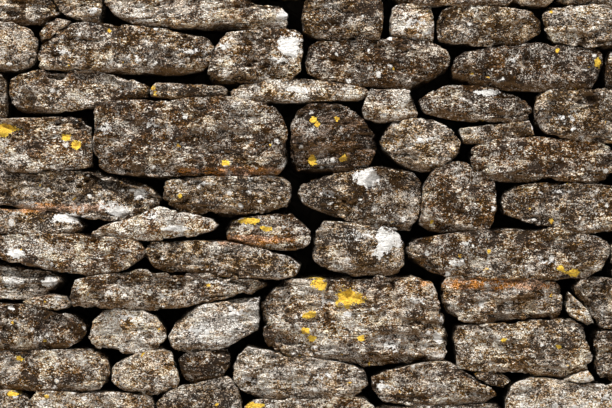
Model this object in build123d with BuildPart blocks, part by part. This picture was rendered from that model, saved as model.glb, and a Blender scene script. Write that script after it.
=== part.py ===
"""A length of dry stone field wall: two battered faces of rubble limestone laid without mortar, packed with
hearting, tied at the built ends and by through stones, and finished with a cope of stones set on edge.

The front face follows a real wall, stone for stone; the back face is its mirror image.
Frame: millimetres, +Z up, +X along the wall, front face towards -Y, origin on the ground at the wall's middle.
"""

import os
from dataclasses import dataclass

from build123d import *

# Driving dimensions of the wall
WALL_LENGTH = 2000.0  # between the two built ends, above the footing
COURSED_HEIGHT = 1150.0  # ground to the level bed under the cope
BASE_WIDTH = 620.0  # across the two faces, at the ground
TOP_WIDTH = 400.0  # across the two faces, under the cope
HEARTING_WIDTH = 120.0  # small stone packed between the tails of the two faces
FOOTING_PROJECTION = 30.0  # of the lowest course beyond the faces and ends above it

# How a stone is dressed
OPEN_JOINT_DEPTH = 50.0  # how far a bed joint stays open behind the face
ARRIS = 6.0  # worn-off width along the edges that show
PINNING_DEPTH = 90.0  # how far a sliver is driven in
END_STEPS = (0.0, -5.0, 3.0, -2.0, 4.0, -6.0)  # an end stone stands proud or back by this
RELIEF = (-5.0, 4.0, -2.0, 7.0, 0.0, -7.0, 3.0, -3.0, 6.0)  # a face stands proud or back by this
LEAN = (0.02, -0.03, 0.04, 0.0, -0.02, 0.03, -0.04)  # slope of a face out of the batter
TURN = (-0.02, 0.03, 0.01, -0.03, 0.02)  # slope of a face along the wall

# Cope: stones on edge across the wall, as (thickness, height, how far the crown stands off the middle)
COPE_OVERHANG = 12.0
COPE_JOINT = 3.0
COPE_STONES = (
    (118, 205, 0),
    (74, 222, -14),
    (62, 196, 10),
    (88, 230, 4),
    (70, 208, -8),
    (57, 214, 16),
    (81, 198, -4),
    (66, 226, 8),
    (92, 212, -12),
    (60, 200, 6),
    (76, 219, 0),
    (84, 204, 14),
    (64, 228, -10),
    (72, 210, 3),
    (95, 217, -6),
    (59, 199, 12),
    (78, 224, -2),
    (68, 207, 9),
    (87, 215, -15),
    (63, 202, 5),
    (80, 227, -7),
    (71, 209, 11),
    (61, 218, -3),
    (90, 203, 7),
    (67, 221, -11),
    (112, 208, 0),
)

# The drawing of the front face, on a grid with x to the right and y down, 2.3 mm to a unit as laid
DRAWN_LEFT, DRAWN_RIGHT = -130, 740  # the wall's ends
DRAWN_TOP, DRAWN_GROUND = -35, 465  # the bed under the cope, and the ground
TIE_LEFT, TIE_RIGHT = -52, 662  # where the end ties stop, and the hearting starts


@dataclass
class Stone:
    """A stone's upper outline and its bed, both from left to right on the drawing's grid."""

    top: list
    bed: list
    kind: str = "face"
    drop: float = 0.0  # set when it is laid: how far its bed went down to reach the stones below


def tie(top, bed):
    """An end stone that runs right across the wall."""
    return Stone(top, bed, "tie")


def runner(top, bed):
    """An end stone that runs along the face."""
    return Stone(top, bed, "runner")


def through(top, bed):
    """A stone of the face that runs right across the wall."""
    return Stone(top, bed, "through")


def pin(top, bed):
    """A sliver driven in between courses from the face."""
    return Stone(top, bed, "pin")


# Each entry is a node's name and its stones. They are laid in this order, from the ground up. No two stones
# of one entry touch. The pinnings are slivers driven in between courses.
LAID = [
    ("footing", [
        tie([(DRAWN_LEFT, 421), (TIE_LEFT, 422)], [(DRAWN_LEFT, 465), (TIE_LEFT, 465)]),
        Stone([(-49, 426), (-43, 421), (30, 420), (66, 422), (71, 427)], [(-49, 465), (71, 465)]),
        Stone([(74, 427), (80, 422), (150, 423), (185, 421), (190, 427)], [(74, 465), (190, 465)]),
        Stone([(194, 428), (200, 423), (270, 424), (293, 423), (298, 428)], [(194, 465), (298, 465)]),
        Stone([(302, 427), (308, 422), (380, 424), (412, 421), (418, 427)], [(302, 465), (418, 465)]),
        Stone([(422, 428), (428, 423), (500, 424), (536, 423), (542, 428)], [(422, 465), (542, 465)]),
        Stone([(546, 429), (552, 424), (620, 423), (654, 424), (659, 429)], [(546, 465), (659, 465)]),
        tie([(TIE_RIGHT, 422), (DRAWN_RIGHT, 421)], [(TIE_RIGHT, 465), (DRAWN_RIGHT, 465)]),
    ]),
    ("course_02", [
        runner([(DRAWN_LEFT, 391), (-80, 392), (-41, 393)], [(DRAWN_LEFT, 420), (-41, 420)]),
        Stone([(-38, 396), (-31, 390), (18, 391), (27, 395), (31, 402)], [(-37, 417), (29, 418)]),
        Stone([(33, 400), (39, 391), (60, 394), (105, 393), (148, 394), (155, 402)],
              [(35, 417), (60, 421), (140, 421), (154, 414)]),
        Stone([(158, 404), (166, 394), (184, 386), (212, 381), (228, 377), (236, 388), (241, 403)],
              [(160, 418), (239, 420)]),
        Stone([(244, 406), (256, 400), (300, 398), (345, 396), (364, 398), (373, 406)],
              [(246, 418), (371, 420)]),
        Stone([(376, 411), (384, 406), (440, 408), (480, 405), (495, 404), (503, 411)],
              [(378, 421), (501, 421)]),
        Stone([(506, 398), (512, 384), (530, 378), (560, 381), (600, 385), (635, 386), (640, 393)],
              [(508, 418), (530, 422), (620, 422), (638, 418)]),
        runner([(643, 386), (700, 385), (DRAWN_RIGHT, 384)], [(643, 420), (DRAWN_RIGHT, 420)]),
    ]),
    ("course_03", [
        tie([(DRAWN_LEFT, 352), (TIE_LEFT, 353)], [(DRAWN_LEFT, 389), (TIE_LEFT, 390)]),
        Stone([(-49, 360), (-42, 353), (20, 354), (84, 349), (98, 352), (106, 360), (109, 370)],
              [(-48, 382), (-30, 388), (10, 389), (60, 394), (85, 393), (100, 389), (108, 381)]),
        Stone([(112, 369), (118, 363), (133, 354), (160, 349), (171, 353), (175, 366)],
              [(113, 378), (124, 387), (140, 392), (160, 391), (174, 387), (179, 380)]),
        Stone([(180, 359), (186, 355), (212, 355), (227, 349), (231, 355)],
              [(183, 373), (188, 381), (196, 385), (207, 383), (221, 376), (229, 368)]),
        Stone([(234, 366), (240, 354), (248, 347), (262, 354), (322, 365), (350, 366), (362, 371), (368, 379)],
              [(235, 376), (242, 384), (256, 391), (300, 393), (345, 391), (362, 387)]),
        Stone([(371, 378), (386, 371), (430, 367), (443, 361), (454, 367), (478, 378), (497, 394)],
              [(373, 388), (382, 398), (400, 402), (440, 405), (472, 403), (491, 401)]),
        Stone([(594, 336), (600, 328), (640, 329), (654, 332), (659, 339)],
              [(596, 370), (604, 379), (612, 381), (650, 381), (658, 375)]),
        tie([(TIE_RIGHT, 330), (DRAWN_RIGHT, 329)], [(TIE_RIGHT, 383), (DRAWN_RIGHT, 382)]),
    ]),
    ("pinnings", [
        pin([(474, 373), (482, 371), (500, 374), (510, 380)], [(480, 379), (490, 384), (503, 386)]),
        pin([(563, 379), (572, 374), (586, 371), (591, 378)], [(566, 380), (578, 382), (588, 381)]),
    ]),
    ("course_04", [
        runner([(DRAWN_LEFT, 303), (-80, 304), (-33, 306)], [(DRAWN_LEFT, 350), (-33, 351)]),
        Stone([(-30, 314), (-21, 305), (20, 304), (60, 313), (76, 318), (85, 325), (86, 330)],
              [(-28, 341), (-12, 348), (20, 350), (46, 350), (66, 346), (80, 338)]),
        Stone([(89, 338), (93, 323), (106, 311), (125, 309), (140, 311), (155, 318), (164, 330), (165, 338)],
              [(91, 345), (102, 350), (125, 352), (148, 352), (158, 347)]),
        Stone([(169, 338), (175, 325), (188, 311), (206, 305), (238, 303), (259, 298), (260, 315), (258, 332)],
              [(171, 345), (178, 351), (190, 355), (208, 354), (225, 348), (243, 340)]),
        Stone([(263, 334), (263, 300), (284, 281), (312, 276), (340, 281), (398, 279), (412, 277),
               (431, 284), (440, 306), (448, 338), (446, 354)],
              [(267, 347), (290, 357), (340, 364), (378, 369), (425, 366), (440, 361)]),
        Stone([(455, 340), (456, 327), (545, 328), (560, 320), (576, 319), (586, 326), (590, 345), (589, 360)],
              [(459, 367), (500, 372), (545, 374), (572, 374), (585, 369)]),
        runner([(643, 282), (700, 281), (DRAWN_RIGHT, 280)], [(643, 327), (DRAWN_RIGHT, 327)]),
    ]),
    ("pinnings", [
        pin([(24, 302), (35, 298), (52, 295), (66, 297), (70, 303)], [(29, 305), (42, 307), (56, 309), (67, 306)]),
        pin([(564, 306), (568, 293), (588, 312), (593, 322)], [(567, 310), (577, 317), (587, 322)]),
    ]),
    ("course_05", [
        tie([(DRAWN_LEFT, 261), (TIE_LEFT, 262)], [(DRAWN_LEFT, 301), (TIE_LEFT, 302)]),
        Stone([(-49, 268), (-41, 261), (0, 263), (52, 269), (60, 275), (61, 282)],
              [(-47, 289), (-32, 296), (10, 298), (26, 299), (47, 296), (56, 289)]),
        Stone([(73, 296), (77, 280), (92, 280), (140, 271), (165, 275), (240, 276), (261, 278), (269, 285)],
              [(75, 303), (100, 306), (130, 308), (160, 307), (190, 303), (220, 298), (252, 291)]),
        Stone([(313, 250), (315, 236), (325, 223), (345, 224), (387, 228), (397, 234), (403, 246), (402, 266)],
              [(314, 262), (322, 269), (336, 275), (350, 279), (380, 278), (397, 274)]),
        Stone([(443, 286), (448, 277), (545, 279), (556, 281), (560, 289), (560, 310)],
              [(444, 304), (450, 314), (464, 321), (486, 325), (510, 323), (545, 322), (556, 318)]),
        Stone([(574, 288), (580, 280), (600, 279), (635, 281), (640, 288)],
              [(579, 295), (591, 311), (600, 325), (620, 327), (638, 323)]),
    ]),
    ("course_06", [
        runner([(DRAWN_LEFT, 236), (-80, 235), (-24, 237)], [(DRAWN_LEFT, 259), (-24, 260)]),
        Stone([(-21, 243), (-14, 237), (30, 238), (85, 235), (98, 241), (136, 242), (143, 249), (142, 258)],
              [(-19, 257), (0, 261), (40, 265), (66, 271), (85, 277), (102, 277), (126, 269)]),
        Stone([(146, 252), (150, 243), (185, 248), (222, 242), (262, 255), (290, 257), (300, 265)],
              [(149, 260), (158, 268), (190, 273), (255, 276), (277, 278), (296, 274)]),
        Stone([(407, 248), (413, 240), (462, 236), (487, 235), (495, 230), (560, 229), (577, 236), (603, 240),
               (609, 247), (607, 254)],
              [(409, 257), (430, 269), (450, 275), (500, 277), (550, 278), (586, 276), (599, 266)]),
        Stone([(612, 249), (618, 241), (654, 239), (659, 246)], [(613, 273), (620, 278), (653, 278), (659, 274)]),
        tie([(TIE_RIGHT, 239), (DRAWN_RIGHT, 238)], [(TIE_RIGHT, 278), (DRAWN_RIGHT, 278)]),
    ]),
    ("course_07", [
        tie([(DRAWN_LEFT, 206), (TIE_LEFT, 207)], [(DRAWN_LEFT, 234), (TIE_LEFT, 234)]),
        Stone([(-49, 214), (-42, 207), (0, 208), (45, 212), (66, 215), (79, 220), (83, 226)],
              [(-47, 227), (-30, 231), (0, 232), (40, 234), (60, 235), (77, 231)]),
        Stone([(92, 233), (100, 228), (122, 228), (142, 214), (157, 208), (180, 221), (210, 219), (217, 225)],
              [(97, 238), (120, 240), (160, 240), (196, 236), (212, 231)]),
        Stone([(225, 229), (231, 221), (241, 218), (272, 218), (288, 213), (299, 222), (309, 232), (308, 240)],
              [(228, 237), (241, 244), (262, 245), (285, 247), (302, 246)]),
    ]),
    ("course_08", [
        runner([(DRAWN_LEFT, 171), (-80, 170), (-34, 172)], [(DRAWN_LEFT, 204), (-34, 204)]),
        Stone([(-31, 179), (-24, 172), (30, 175), (62, 170), (98, 170), (116, 176), (150, 189), (160, 198)],
              [(-29, 197), (-10, 203), (25, 206), (70, 213), (105, 221), (122, 222), (156, 207)]),
        through([(164, 196), (165, 183), (173, 179), (245, 178), (282, 176), (289, 184), (291, 196)],
                [(168, 206), (177, 213), (220, 215), (240, 217), (265, 213), (286, 207)]),
        Stone([(299, 194), (301, 186), (332, 175), (350, 175), (363, 170), (378, 168), (414, 173), (420, 180),
               (419, 212)],
              [(304, 202), (345, 218), (362, 224), (388, 227), (409, 228)]),
        Stone([(424, 198), (426, 185), (435, 171), (456, 161), (468, 163), (495, 183), (498, 192), (493, 212)],
              [(421, 223), (432, 230), (468, 232), (488, 230)]),
        through([(501, 203), (503, 194), (520, 185), (560, 186), (576, 184), (634, 187), (640, 194)],
                [(504, 211), (530, 219), (552, 224), (572, 228), (610, 230), (637, 226)]),
        runner([(643, 188), (700, 187), (DRAWN_RIGHT, 187)], [(643, 236), (DRAWN_RIGHT, 236)]),
    ]),
    ("course_09", [
        tie([(DRAWN_LEFT, 121), (TIE_LEFT, 122)], [(DRAWN_LEFT, 169), (TIE_LEFT, 170)]),
        Stone([(-49, 129), (-42, 122), (0, 122), (40, 119), (82, 117), (88, 128), (90, 145)],
              [(-47, 164), (-30, 169), (0, 170), (46, 169), (89, 165)]),
        Stone([(94, 146), (93, 128), (95, 110), (104, 103), (182, 99), (232, 97), (240, 102), (262, 103),
               (279, 113), (286, 132), (286, 156)],
              [(100, 161), (112, 168), (160, 173), (240, 172), (276, 170)]),
        Stone([(290, 148), (293, 124), (299, 111), (308, 105), (325, 104), (346, 106), (363, 118), (376, 134),
               (377, 148)],
              [(291, 160), (295, 170), (330, 172), (352, 171), (369, 169)]),
        Stone([(381, 142), (385, 130), (394, 121), (415, 119), (432, 121), (452, 131), (460, 142), (459, 150)],
              [(384, 146), (398, 159), (412, 166), (430, 167), (446, 162)]),
        Stone([(472, 158), (474, 148), (484, 142), (526, 141), (536, 138), (600, 142), (610, 147), (617, 160)],
              [(476, 167), (490, 175), (506, 179), (550, 179), (600, 180), (614, 174)]),
        Stone([(621, 152), (626, 145), (654, 144), (659, 150)], [(621, 176), (628, 181), (652, 181), (658, 177)]),
        tie([(TIE_RIGHT, 143), (DRAWN_RIGHT, 142)], [(TIE_RIGHT, 186), (DRAWN_RIGHT, 186)]),
    ]),
    ("course_10", [
        runner([(DRAWN_LEFT, 69), (-80, 70), (-40, 71)], [(DRAWN_LEFT, 120), (-40, 120)]),
        Stone([(-37, 78), (-31, 70), (-2, 71), (3, 80), (4, 100)], [(-36, 112), (-28, 118), (-4, 118), (3, 112)]),
        Stone([(8, 96), (10, 80), (18, 74), (36, 71), (68, 76), (92, 70), (114, 74), (130, 81), (146, 87)],
              [(9, 106), (16, 112), (32, 115), (52, 115), (82, 109), (108, 101), (145, 98)]),
        Stone([(150, 90), (156, 84), (205, 85), (223, 86), (228, 91)], [(151, 95), (175, 98), (202, 98), (226, 95)]),
        Stone([(232, 92), (240, 85), (262, 84), (278, 80), (302, 79), (320, 84), (364, 88), (368, 92)],
              [(234, 97), (260, 100), (320, 100), (362, 97)]),
        Stone([(364, 110), (367, 100), (372, 90), (409, 89), (414, 98), (418, 111)],
              [(366, 115), (378, 119), (396, 119), (415, 117)]),
        Stone([(461, 130), (480, 127), (510, 125), (529, 122), (533, 128), (533, 133)],
              [(466, 141), (490, 141), (512, 138), (530, 135)]),
        Stone([(537, 108), (540, 96), (546, 91), (578, 93), (600, 89), (634, 93), (640, 101)],
              [(538, 120), (550, 129), (572, 134), (600, 138), (625, 139), (638, 134)]),
        runner([(643, 93), (700, 92), (DRAWN_RIGHT, 92)], [(643, 141), (DRAWN_RIGHT, 140)]),
    ]),
    ("course_11", [
        tie([(DRAWN_LEFT, 20), (TIE_LEFT, 21)], [(DRAWN_LEFT, 67), (TIE_LEFT, 68)]),
        Stone([(-49, 28), (-42, 21), (10, 22), (27, 30), (34, 39), (33, 53)],
              [(-47, 62), (-38, 67), (0, 67), (20, 65), (29, 60)]),
        Stone([(37, 54), (39, 43), (50, 37), (70, 23), (84, 21), (108, 26), (155, 29), (204, 36), (212, 46),
               (210, 58)],
              [(40, 64), (60, 67), (110, 67), (150, 70), (176, 71), (200, 66)]),
        Stone([(212, 58), (220, 38), (226, 33), (252, 35), (276, 30), (292, 28), (301, 32), (303, 50),
               (299, 68)],
              [(208, 74), (212, 81), (240, 82), (268, 80), (290, 77)]),
        Stone([(306, 60), (310, 47), (318, 42), (374, 41), (386, 37), (398, 41), (428, 41), (446, 49), (451, 56),
               (447, 66)],
              [(308, 69), (318, 75), (355, 81), (380, 84), (408, 86), (424, 79)]),
        Stone([(421, 101), (430, 94), (442, 88), (475, 86), (500, 88), (516, 94), (531, 106), (533, 112)],
              [(426, 106), (442, 111), (480, 116), (514, 119), (528, 117)]),
        Stone([(609, 60), (614, 50), (652, 48), (659, 56)], [(610, 80), (617, 88), (650, 90), (658, 84)]),
        tie([(TIE_RIGHT, 47), (DRAWN_RIGHT, 46)], [(TIE_RIGHT, 91), (DRAWN_RIGHT, 90)]),
    ]),
    ("pinnings", [
        pin([(36, 31), (42, 22), (54, 18), (67, 20)], [(39, 37), (47, 35), (58, 27)]),
    ]),
    ("course_12", [
        runner([(DRAWN_LEFT, -11), (-80, -10), (-28, -11)], [(DRAWN_LEFT, 19), (-28, 19)]),
        Stone([(-25, -5), (-19, -11), (38, -12), (44, -2), (56, 10)], [(-22, 9), (-8, 14), (15, 18), (36, 18)]),
        Stone([(50, -4), (57, -12), (92, -13), (99, -6), (100, 12)], [(62, 11), (78, 18), (96, 19)]),
        Stone([(104, 0), (112, -8), (215, -6), (236, 2), (250, 6), (264, 3), (278, 5), (287, 13), (288, 21)],
              [(112, 9), (126, 16), (142, 22), (190, 23), (250, 25), (282, 27)]),
        Stone([(303, 18), (306, 2), (312, -6), (376, -7), (382, 2), (382, 24)],
              [(304, 28), (312, 34), (340, 36), (379, 36)]),
        Stone([(391, 22), (394, 8), (400, 3), (432, 5), (435, 20)], [(393, 33), (404, 38), (434, 40)]),
        Stone([(454, 68), (458, 58), (470, 50), (492, 47), (520, 46), (536, 43), (592, 46), (603, 51), (604, 60),
               (598, 68)],
              [(455, 76), (476, 84), (495, 87), (520, 88), (560, 89), (588, 88), (594, 84)]),
    ]),
    ("course_13", [
        Stone([(439, 22), (442, 9), (466, 3), (506, 9), (532, 12), (541, 21), (543, 28)],
              [(441, 40), (470, 44), (508, 46), (522, 43), (539, 33)]),
        Stone([(546, 14), (551, 5), (580, 5), (602, 4), (634, 6), (640, 14)],
              [(549, 30), (556, 37), (590, 42), (630, 42), (638, 38)]),
        runner([(643, 6), (700, 5), (DRAWN_RIGHT, 5)], [(643, 45), (DRAWN_RIGHT, 45)]),
    ]),
    ("course_14", [
        tie([(DRAWN_LEFT, -35), (TIE_LEFT, -35)], [(DRAWN_LEFT, -12), (TIE_LEFT, -12)]),
        Stone([(-49, -35), (52, -35)], [(-48, -18), (-38, -13), (42, -14), (51, -19)]),
        Stone([(55, -35), (148, -35)], [(56, -19), (64, -15), (138, -11), (147, -16)]),
        Stone([(151, -35), (262, -35)], [(152, -15), (162, -9), (215, -8), (246, 0), (261, -5)]),
        Stone([(265, -35), (390, -35)], [(266, -13), (275, -8), (300, -8), (380, -10), (389, -16)]),
        Stone([(393, -35), (556, -35)], [(395, -7), (404, 1), (470, 2), (548, 2), (555, -5)]),
        Stone([(559, -35), (659, -35)], [(560, -4), (568, 2), (650, 3), (658, -3)]),
        tie([(TIE_RIGHT, -35), (DRAWN_RIGHT, -35)], [(TIE_RIGHT, 3), (DRAWN_RIGHT, 3)]),
    ]),
]


def on_face(point):
    """A point of the drawing, in millimetres along the wall from its middle and up from the ground."""
    x, y = point
    along = WALL_LENGTH * ((x - DRAWN_LEFT) / (DRAWN_RIGHT - DRAWN_LEFT) - 0.5)
    up = COURSED_HEIGHT * (DRAWN_GROUND - y) / (DRAWN_GROUND - DRAWN_TOP)
    return along, up


def hull_side(points, sign):
    """The upper (sign 1) or lower (sign -1) side of the points' convex hull, from left to right."""
    side = []
    for point in sorted(points):
        while len(side) > 1:
            (xa, za), (xb, zb) = side[-2], side[-1]
            if sign * ((xb - xa) * (point[1] - zb) - (zb - za) * (point[0] - xb)) < 0:
                break
            side.pop()
        side.append(point)
    return side


def heights_at(line, x):
    """The heights at which a broken line passes over x."""
    found = []
    for (xa, za), (xb, zb) in zip(line, line[1:]):
        if min(xa, xb) <= x <= max(xa, xb):
            share = 0.0 if xa == xb else (x - xa) / (xb - xa)
            found += [za + share * (zb - za)] if xa != xb else [za, zb]
    return found


def clearance(upper, lower):
    """How far upper's underside is above lower's top, where the one is over the other, or None."""
    under = [upper.top[0], *upper.bed, upper.top[-1]]
    over = [lower.bed[0], *lower.top, lower.bed[-1]]
    first = max(min(x for x, _ in under), min(x for x, _ in over))
    last = min(max(x for x, _ in under), max(x for x, _ in over))
    if last <= first:
        return None
    stations = [first, last] + [x for x, _ in under + over if first < x < last]
    return min(min(heights_at(under, x)) - max(heights_at(over, x)) for x in stations)


def dressed_end(stone, end):
    """The outline of an end stone carried to the end plane, with its arrises taken off there."""
    inward = OPEN_JOINT_DEPTH if end < 0 else -OPEN_JOINT_DEPTH
    index = 0 if end < 0 else -1
    top, bed = stone.top[index][1], stone.bed[index][1]
    for line, height, arris in ((stone.top, top, -ARRIS), (stone.bed, bed, ARRIS)):
        corner = [(end, height + arris), (end + inward, height)]
        if end < 0:
            line[0:1] = corner
        else:
            line[-1:] = corner[::-1]


def seat(stone, below, end_step):
    """The stone in millimetres, with its bed let down, or trimmed, until it bears on a stone below."""
    points = [on_face(p) for p in stone.top + stone.bed]
    placed = Stone(hull_side(points, 1), hull_side(points, -1)[1:-1], stone.kind)
    if stone.kind in ("tie", "runner"):
        placed = Stone([on_face(p) for p in stone.top], [on_face(p) for p in stone.bed], stone.kind)
    gaps = [gap for gap in (clearance(placed, other) for other in below) if gap is not None]
    placed.drop = min(gaps) if gaps else 0.0
    placed.bed = [(x, z - placed.drop) for x, z in placed.bed]
    if stone.kind in ("tie", "runner"):
        half = WALL_LENGTH / 2 + end_step
        dressed_end(placed, -half if placed.top[0][0] < 0 else half)
        points = placed.top + placed.bed
        placed.top, placed.bed = hull_side(points, 1), hull_side(points, -1)[1:-1]
    return placed


def lay_front():
    """The stones of the front face as laid, in a list for each node."""
    nodes, below = {}, []
    for name, stones in LAID:
        step = FOOTING_PROJECTION if name == "footing" else END_STEPS[len(nodes) % len(END_STEPS)]
        placed = [seat(stone, below, step) for stone in stones]
        nodes.setdefault(name, []).extend(placed)
        below += placed
    return nodes


def face_at(height):
    """How far the wall's battered face is from the middle, at a height."""
    return BASE_WIDTH / 2 - (BASE_WIDTH - TOP_WIDTH) / 2 * height / COURSED_HEIGHT


def face_plane(stone, number, footing):
    """The plane of a stone's own face, near the batter of the wall."""
    xs, zs = zip(*stone.top, *stone.bed)
    x, z = (min(xs) + max(xs)) / 2, (min(zs) + max(zs)) / 2
    batter = (BASE_WIDTH - TOP_WIDTH) / 2 / COURSED_HEIGHT
    if footing:
        return Plane(origin=(x, -face_at(z) - FOOTING_PROJECTION, z), z_dir=(0, -1, batter))
    relief = RELIEF[number % len(RELIEF)]
    slope = batter + LEAN[number % len(LEAN)]
    return Plane(origin=(x, -face_at(z) - relief, z), z_dir=(TURN[number % len(TURN)], -1, slope))


def cut_stone(stone, number, footing):
    """A stone of the front face, from its tail on the hearting to its dressed face."""
    face = face_plane(stone, number, footing)
    ring = [*stone.top, *reversed(stone.bed)]
    turn, _, slope = face.z_dir / -face.z_dir.Y
    reach = max(-face.origin.Y - turn * (x - face.origin.X) - slope * (z - face.origin.Z) for x, z in ring)
    whole = stone.kind in ("tie", "through")
    splay_from = -face.origin.Y - OPEN_JOINT_DEPTH
    tail = 0.0 if whole else HEARTING_WIDTH / 2
    splay = ARRIS / OPEN_JOINT_DEPTH
    if stone.kind == "pin":
        tail, splay = -face.origin.Y - PINNING_DEPTH, splay / 3
    with BuildPart() as cut:
        with BuildSketch(Plane.XZ.offset(tail)):
            with BuildLine():
                Polyline(*ring, close=True)
            make_face()
        extrude(amount=reach - tail)
        for (xa, za), (xb, zb) in zip(ring, ring[1:] + ring[:1]):
            outward = Vector(za - zb, 0, xb - xa).normalized()
            edge = (xa, -splay_from, za)
            split(bisect_by=Plane(origin=edge, z_dir=outward + Vector(0, -splay, 0)), keep=Keep.BOTTOM)
        split(bisect_by=face, keep=Keep.BOTTOM)
        if whole:
            mirror(about=Plane.XZ)
    return cut.part


def fill_end(stone):
    """The stone that closes an end between the two runners of a course."""
    left = stone.top[0][0] < -WALL_LENGTH / 4
    end_of_hearting = on_face((TIE_LEFT if left else TIE_RIGHT, 0))[0]
    with BuildPart() as filler:
        with BuildSketch(Plane.XZ.offset(-HEARTING_WIDTH / 2)):
            with BuildLine():
                Polyline(*stone.top, *reversed(stone.bed), close=True)
            make_face()
        extrude(amount=HEARTING_WIDTH)
        split(bisect_by=Plane.YZ.offset(end_of_hearting), keep=Keep.BOTTOM if left else Keep.TOP)
    return filler.part


def cut_cope_stone(start, thickness, height, lean):
    """A stone set on edge across the wall, with a rough round back to it."""
    half = TOP_WIDTH / 2 + COPE_OVERHANG
    shoulder = height * 0.55
    with BuildPart() as cope_stone:
        with BuildSketch(Plane.YZ.offset(start)):
            with BuildLine():
                Polyline(
                    (-half + 14, COURSED_HEIGHT),
                    (half - 14, COURSED_HEIGHT),
                    (half, COURSED_HEIGHT + 40),
                    (half - 6, COURSED_HEIGHT + shoulder),
                    (half * 0.74 + lean * 0.5, COURSED_HEIGHT + height * 0.86),
                    (half * 0.32 + lean, COURSED_HEIGHT + height),
                    (-half * 0.32 + lean, COURSED_HEIGHT + height),
                    (-half * 0.74 + lean * 0.5, COURSED_HEIGHT + height * 0.86),
                    (-half + 6, COURSED_HEIGHT + shoulder),
                    (-half, COURSED_HEIGHT + 40),
                    close=True,
                )
            make_face()
        extrude(amount=thickness)
        ends = cope_stone.faces().filter_by(Axis.X)
        chamfer(ends.edges(), length=ARRIS)
    return cope_stone.part


front = lay_front()
fronts, backs, ties, throughs, fillers = {}, {}, [], [], []
number = 0
for name, stones in front.items():
    for stone in stones:
        number += 1
        piece = cut_stone(stone, number, name == "footing")
        if stone.kind == "tie" and name != "footing":
            ties.append(piece)
        elif stone.kind == "through":
            throughs.append((stone, piece))
        elif stone.kind == "tie":
            fronts.setdefault(name, []).append(piece)
        else:
            fronts.setdefault(name, []).append(piece)
            backs.setdefault(name, []).append(mirror(piece, about=Plane.XZ))
        if stone.kind == "runner":
            fillers.append(fill_end(stone))

# The small stone packed between the faces, left open where a stone runs right across
with BuildPart() as hearting:
    with BuildSketch(Plane.XZ.offset(-HEARTING_WIDTH / 2)):
        with BuildLine():
            Polyline(
                on_face((TIE_LEFT, DRAWN_GROUND)),
                on_face((TIE_RIGHT, DRAWN_GROUND)),
                on_face((TIE_RIGHT, DRAWN_TOP)),
                on_face((TIE_LEFT, DRAWN_TOP)),
                close=True,
            )
        make_face()
        for stone, _ in throughs:
            with BuildLine():
                Polyline(*stone.top, *reversed(stone.bed), close=True)
            make_face(mode=Mode.SUBTRACT)
    extrude(amount=HEARTING_WIDTH)
hearting.part.label = "hearting"

# The cope, from end to end
cope = []
joints = COPE_JOINT * (len(COPE_STONES) - 1)
scale = (WALL_LENGTH - joints) / sum(thickness for thickness, _, _ in COPE_STONES)
start = -WALL_LENGTH / 2
for thickness, height, lean in COPE_STONES:
    cope.append(cut_cope_stone(start, thickness * scale, height, lean))
    start += thickness * scale + COPE_JOINT

nodes = {"head_ties": ties, "head_fillers": fillers, "through_stones": [piece for _, piece in throughs]}
nodes["cope_west"] = cope[: len(cope) // 2]
nodes["cope_east"] = cope[len(cope) // 2 :]
for name, pieces in fronts.items():
    nodes[f"front_{name}"] = pieces
for name, pieces in backs.items():
    nodes[f"back_{name}"] = pieces

os.makedirs("parts", exist_ok=True)
export_step(hearting.part, "parts/hearting.step")
for name, pieces in nodes.items():
    node = Compound(children=[solid for piece in pieces for solid in piece.solids()], label=name)
    export_step(node, f"parts/{name}.step")
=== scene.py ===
"""Looks of a dry stone wall: rough weathered limestone, crust lichen, dark open joints, and a plain studio.

Every stone of the frame is turned into a worn, ledged and chipped rock inside its own flat-sided block, and
keeps its place. Sizes are in metres.
"""

import math

import bmesh
import bpy
import numpy as np
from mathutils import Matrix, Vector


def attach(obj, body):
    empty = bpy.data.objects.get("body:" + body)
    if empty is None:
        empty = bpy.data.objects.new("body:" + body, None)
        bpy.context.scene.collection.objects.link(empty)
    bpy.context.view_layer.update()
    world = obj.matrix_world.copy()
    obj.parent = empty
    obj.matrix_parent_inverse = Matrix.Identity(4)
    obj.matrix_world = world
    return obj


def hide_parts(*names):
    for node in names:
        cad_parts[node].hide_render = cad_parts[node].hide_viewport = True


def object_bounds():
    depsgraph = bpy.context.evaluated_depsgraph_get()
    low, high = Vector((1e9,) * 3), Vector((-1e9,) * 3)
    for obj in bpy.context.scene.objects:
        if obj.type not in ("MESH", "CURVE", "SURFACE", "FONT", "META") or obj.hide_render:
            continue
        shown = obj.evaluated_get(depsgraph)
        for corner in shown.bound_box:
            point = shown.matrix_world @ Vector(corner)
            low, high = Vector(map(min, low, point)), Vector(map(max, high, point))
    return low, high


bl_info = {
    "name": "Dry stone wall",
    "version": (1, 0, 0),
    "blender": (4, 5, 0),
    "location": "View3D > Sidebar > Wall",
    "description": "Dresses the blocks of a dry stone wall as weathered limestone with crust lichen",
    "category": "Object",
}

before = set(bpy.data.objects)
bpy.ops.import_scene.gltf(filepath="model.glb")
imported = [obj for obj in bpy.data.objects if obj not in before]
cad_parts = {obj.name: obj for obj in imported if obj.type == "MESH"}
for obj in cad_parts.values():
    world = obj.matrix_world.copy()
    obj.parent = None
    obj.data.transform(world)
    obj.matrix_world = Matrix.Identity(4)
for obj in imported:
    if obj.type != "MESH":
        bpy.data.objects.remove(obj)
CAD_BOX = [list(corner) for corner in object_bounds()]
FRONT_NODES = sorted(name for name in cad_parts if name.startswith("front_"))
BACK_NODES = sorted(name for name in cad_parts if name.startswith("back_"))
COPE_NODES = sorted(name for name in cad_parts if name.startswith("cope"))
ACROSS_NODES = ("head_ties", "through_stones", "head_fillers")

# The drawing of the front face: a grid with x to the right and y down, and where it lies on the wall
GRID_STEP, GRID_RISE = 2.0 / 870, 0.0023
GRID_LEFT, GRID_GROUND = -130.0, 465.0
WALL_LEFT = -1.0

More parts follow.
